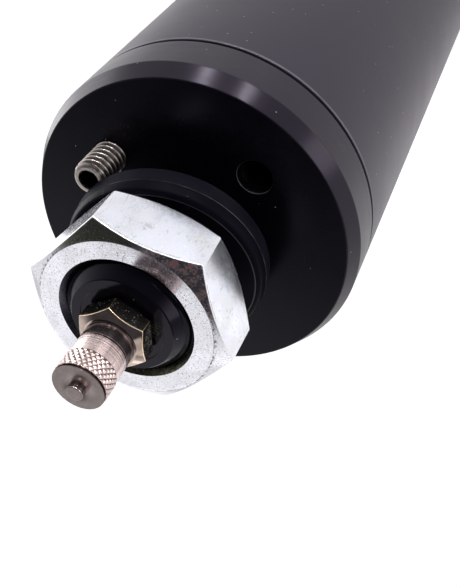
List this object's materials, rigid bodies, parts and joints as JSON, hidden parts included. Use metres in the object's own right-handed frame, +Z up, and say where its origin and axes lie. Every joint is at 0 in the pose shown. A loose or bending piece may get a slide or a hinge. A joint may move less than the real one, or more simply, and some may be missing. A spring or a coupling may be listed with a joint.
{
  "type": "hydraulic bump stop",
  "caption": "Gas-charged hydraulic bump stop with a threaded mounting stem, jam nut, washers, index screw, charging valve and a sliding shaft with a strike pad.",
  "frame": {"origin": "centre of the end cap's mounting face, on the body axis", "axes": "+Z up the mounting stem, the shaft hangs towards -Z, +X towards the spare index hole, +Y towards the index screw"},
  "size_m": [0.0635, 0.0634, 0.3057],
  "materials": {
    "black_anodised": "satin black anodised",
    "zinc_plate": "bright zinc plate",
    "nickel_plate": "nickel plated",
    "screw_steel": "plain stainless steel",
    "black_steel": "black oxide",
    "rubber": "matt",
    "hard_chrome": "ground and plated",
    "bare_aluminium": "turned",
    "bronze": "plain",
    "bearing_plastic": "filled plastic",
    "seal_plastic": "moulded",
    "spring_steel": "plain",
    "strike_urethane": "moulded"
  },
  "bodies": {
    "housing": {"end_cap": "black_anodised", "end_cap_o_ring": "rubber", "body_tube": "black_anodised", "valve_body": "nickel_plate", "valve_core": "nickel_plate", "valve_core_seal": "rubber", "seal_head": "bare_aluminium", "seal_head_o_ring": "rubber", "shaft_bushing": "bronze", "shaft_seal": "seal_plastic", "shaft_wiper": "seal_plastic", "retaining_ring": "spring_steel", "top_out_bumper": "strike_urethane"},
    "shaft_assembly": {"shaft": "hard_chrome", "piston": "bare_aluminium", "piston_band": "bearing_plastic", "compression_shims": "spring_steel", "rebound_shims": "spring_steel", "shim_washer": "screw_steel", "piston_nut": "zinc_plate", "strike_plate": "black_steel", "strike_pad": "strike_urethane", "pad_screw": "black_steel"},
    "stem_washers": {"isolator_washer": "rubber", "clamp_washer": "black_steel"},
    "jam_nut": {"jam_nut": "zinc_plate"},
    "index_screw": {"index_screw": "screw_steel"},
    "cap_gasket": {"valve_cap_gasket": "rubber"},
    "valve_cap": {"valve_cap": "nickel_plate"},
    "valve_pin": {"valve_pin": "nickel_plate", "valve_pin_spring": "spring_steel"}
  },
  "joints": [
    {"name": "shaft_stroke", "type": "slide", "parent": "housing", "child": "shaft_assembly", "axis": [0, 0, 1], "range_m": [0, 0.0635], "stiffness_N_per_m": 9000, "springref_m": -0.06},
    {"name": "jam_nut_climb", "type": "slide", "parent": "housing", "child": "stem_washers", "axis": [0, 0, 1], "range_m": [0, 0.01451]},
    {"name": "jam_nut_turn", "type": "hinge", "parent": "stem_washers", "child": "jam_nut", "pos_m": [0, 0, 0.02], "axis": [0, 0, 1], "range_deg": [0, 2970]},
    {"name": "index_screw_height", "type": "slide", "parent": "housing", "child": "index_screw", "axis": [0, 0, 1], "range_m": [-0.0082, 0]},
    {"name": "valve_cap_climb", "type": "slide", "parent": "housing", "child": "cap_gasket", "axis": [0, 0, 1], "range_m": [0, 0.00714]},
    {"name": "valve_cap_turn", "type": "hinge", "parent": "cap_gasket", "child": "valve_cap", "pos_m": [0, 0, 0.038], "axis": [0, 0, 1], "range_deg": [0, 3330]},
    {"name": "valve_pin_press", "type": "slide", "parent": "housing", "child": "valve_pin", "axis": [0, 0, -1], "range_m": [0, 0.0012], "stiffness_N_per_m": 500, "springref_m": -0.002, "deforming": ["valve_pin_spring"]}
  ],
  "couplings": [
    {"joint": "jam_nut_turn", "follows": "jam_nut_climb", "rad_per_m": 3463.2},
    {"joint": "valve_cap_turn", "follows": "valve_cap_climb", "rad_per_m": 7915.8}
  ]
}
